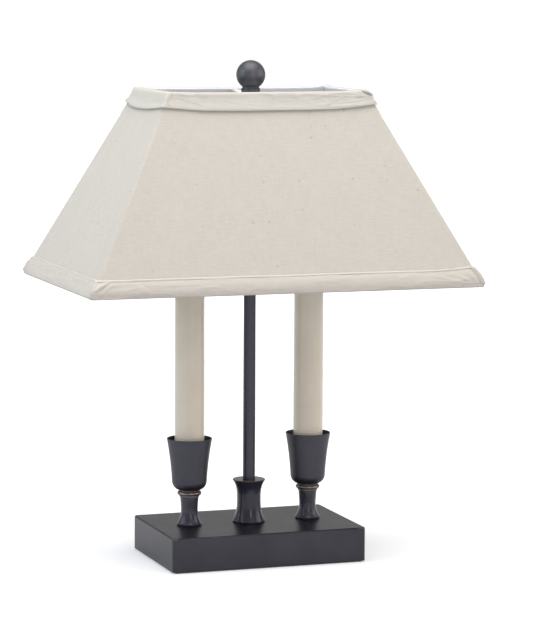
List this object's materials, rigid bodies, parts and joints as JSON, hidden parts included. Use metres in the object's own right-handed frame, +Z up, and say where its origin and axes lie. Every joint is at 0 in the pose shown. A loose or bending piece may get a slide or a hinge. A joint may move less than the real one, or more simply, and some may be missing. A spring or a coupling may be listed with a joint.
{
  "type": "accent lamp",
  "caption": "Two-candle accent lamp: box base, waisted pedestal with a centre rod, flared cups with candle sleeves, and a four-sided linen shade under a ball finial.",
  "frame": {"origin": "middle of the felt's underside, on the surface that the lamp stands on", "axes": "+Z up along the centre rod, +X along the base from the left candle to the right one, front is -Y"},
  "size_m": [0.4208, 0.2688, 0.519],
  "materials": {
    "bronze_box": "satin dark bronze with worn edges",
    "turned_bronze": "glossy oil-rubbed bronze",
    "spun_bronze": "satin oil-rubbed bronze",
    "bronze_rod": "satin dark bronze",
    "ivory_sleeve": "satin ivory",
    "linen": "slubbed off-white linen",
    "linen_trim": "folded off-white linen",
    "lining_cloth": "smooth white lining",
    "white_wire": "white enamel",
    "cast_weight": "rough casting",
    "fibre_board": "pressed board",
    "felt": "green felt",
    "black_plastic": "moulded",
    "key_plastic": "moulded brown-black",
    "zinc_steel": "zinc plated",
    "socket_brass": "polished brass",
    "fibre_liner": "fibre",
    "bulb_aluminium": "bright",
    "frosted_glass": "frosted",
    "wire_plastic": "smooth insulation"
  },
  "bodies": {
    "stand": {"base_shell": "bronze_box", "base_weight": "cast_weight", "bottom_board": "fibre_board", "base_felt": "felt", "cord_bushing": "black_plastic", "base_washers": "zinc_steel", "base_nuts": "zinc_steel", "cup_locknuts": "zinc_steel", "centre_pipe": "zinc_steel", "centre_pedestal": "turned_bronze", "centre_rod": "bronze_rod", "rod_top_stud": "zinc_steel", "wire_splices": "black_plastic", "left_pipe": "zinc_steel", "left_stem": "turned_bronze", "left_cup": "spun_bronze", "left_candle_sleeve": "ivory_sleeve", "left_socket_cap": "socket_brass", "left_socket_shell": "socket_brass", "left_socket_liner": "fibre_liner", "left_switch_body": "black_plastic", "left_screw_shell": "socket_brass", "left_centre_contact": "socket_brass", "left_lamp_wires": "wire_plastic", "right_pipe": "zinc_steel", "right_stem": "turned_bronze", "right_cup": "spun_bronze", "right_candle_sleeve": "ivory_sleeve", "right_socket_cap": "socket_brass", "right_socket_shell": "socket_brass", "right_socket_liner": "fibre_liner", "right_switch_body": "black_plastic", "right_screw_shell": "socket_brass", "right_centre_contact": "socket_brass", "right_lamp_wires": "wire_plastic"},
    "shade": {"front_linen_panel": "linen", "back_linen_panel": "linen", "left_linen_panel": "linen", "right_linen_panel": "linen", "shade_lining": "lining_cloth", "shade_top_ring": "white_wire", "shade_bottom_ring": "white_wire", "shade_corner_ribs": "white_wire", "shade_spider": "white_wire", "shade_top_trim": "linen_trim", "shade_bottom_trim": "linen_trim"},
    "finial": {"ball_finial": "turned_bronze"},
    "left_key": {"left_switch_key": "key_plastic"},
    "left_bulb": {"left_bulb_cap": "bulb_aluminium", "left_bulb_glass": "frosted_glass"},
    "right_key": {"right_switch_key": "key_plastic"},
    "right_bulb": {"right_bulb_cap": "bulb_aluminium", "right_bulb_glass": "frosted_glass"}
  },
  "joints": [
    {"name": "shade_turn", "type": "hinge", "parent": "stand", "child": "shade", "pos_m": [0, 0, 0.483], "axis": [0, 0, 1], "range_deg": [-50, 50]},
    {"name": "finial_turn", "type": "hinge", "parent": "stand", "child": "finial", "pos_m": [0, 0, 0.50399], "axis": [0, 0, 1], "continuous": true},
    {"name": "left_switch_turn", "type": "hinge", "parent": "stand", "child": "left_key", "pos_m": [-0.08425, 0, 0.31529], "axis": [-1, 0, 0], "continuous": true},
    {"name": "left_bulb_turn", "type": "hinge", "parent": "stand", "child": "left_bulb", "pos_m": [-0.0655, 0, 0.32869], "axis": [0, 0, 1], "continuous": true},
    {"name": "right_switch_turn", "type": "hinge", "parent": "stand", "child": "right_key", "pos_m": [0.08425, 0, 0.31529], "axis": [1, 0, 0], "continuous": true},
    {"name": "right_bulb_turn", "type": "hinge", "parent": "stand", "child": "right_bulb", "pos_m": [0.0655, 0, 0.32869], "axis": [0, 0, 1], "continuous": true}
  ]
}
